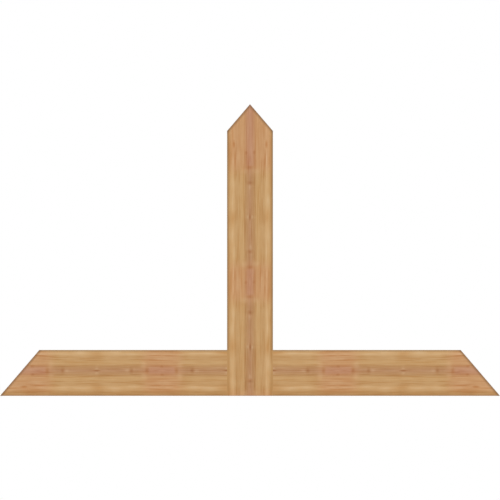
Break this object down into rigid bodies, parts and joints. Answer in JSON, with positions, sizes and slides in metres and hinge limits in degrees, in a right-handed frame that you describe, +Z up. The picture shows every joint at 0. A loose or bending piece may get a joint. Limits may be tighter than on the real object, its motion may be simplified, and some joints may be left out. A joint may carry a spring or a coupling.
{
  "type": "decorative gable truss",
  "caption": "Timber gable truss: a king post with a bevelled peak stands between level chords mitred to the roof pitch; it is fixed under the rake boards as ornament.",
  "frame": {"origin": "mid-span and mid-depth, on the underside of the chords", "axes": "+X across the gable to the right seen from the front, +Y from the front face to the back face, +Z up to the ridge"},
  "size_m": [1.524, 0.0888, 0.889],
  "materials": {
    "cedar": "planed, unfinished",
    "dowel_hardwood": "turned, unfinished"
  },
  "bodies": {
    "root": {"king_post": "cedar", "left_chord": "cedar", "right_chord": "cedar", "upper_dowel": "dowel_hardwood", "lower_dowel": "dowel_hardwood"}
  },
  "joints": []
}
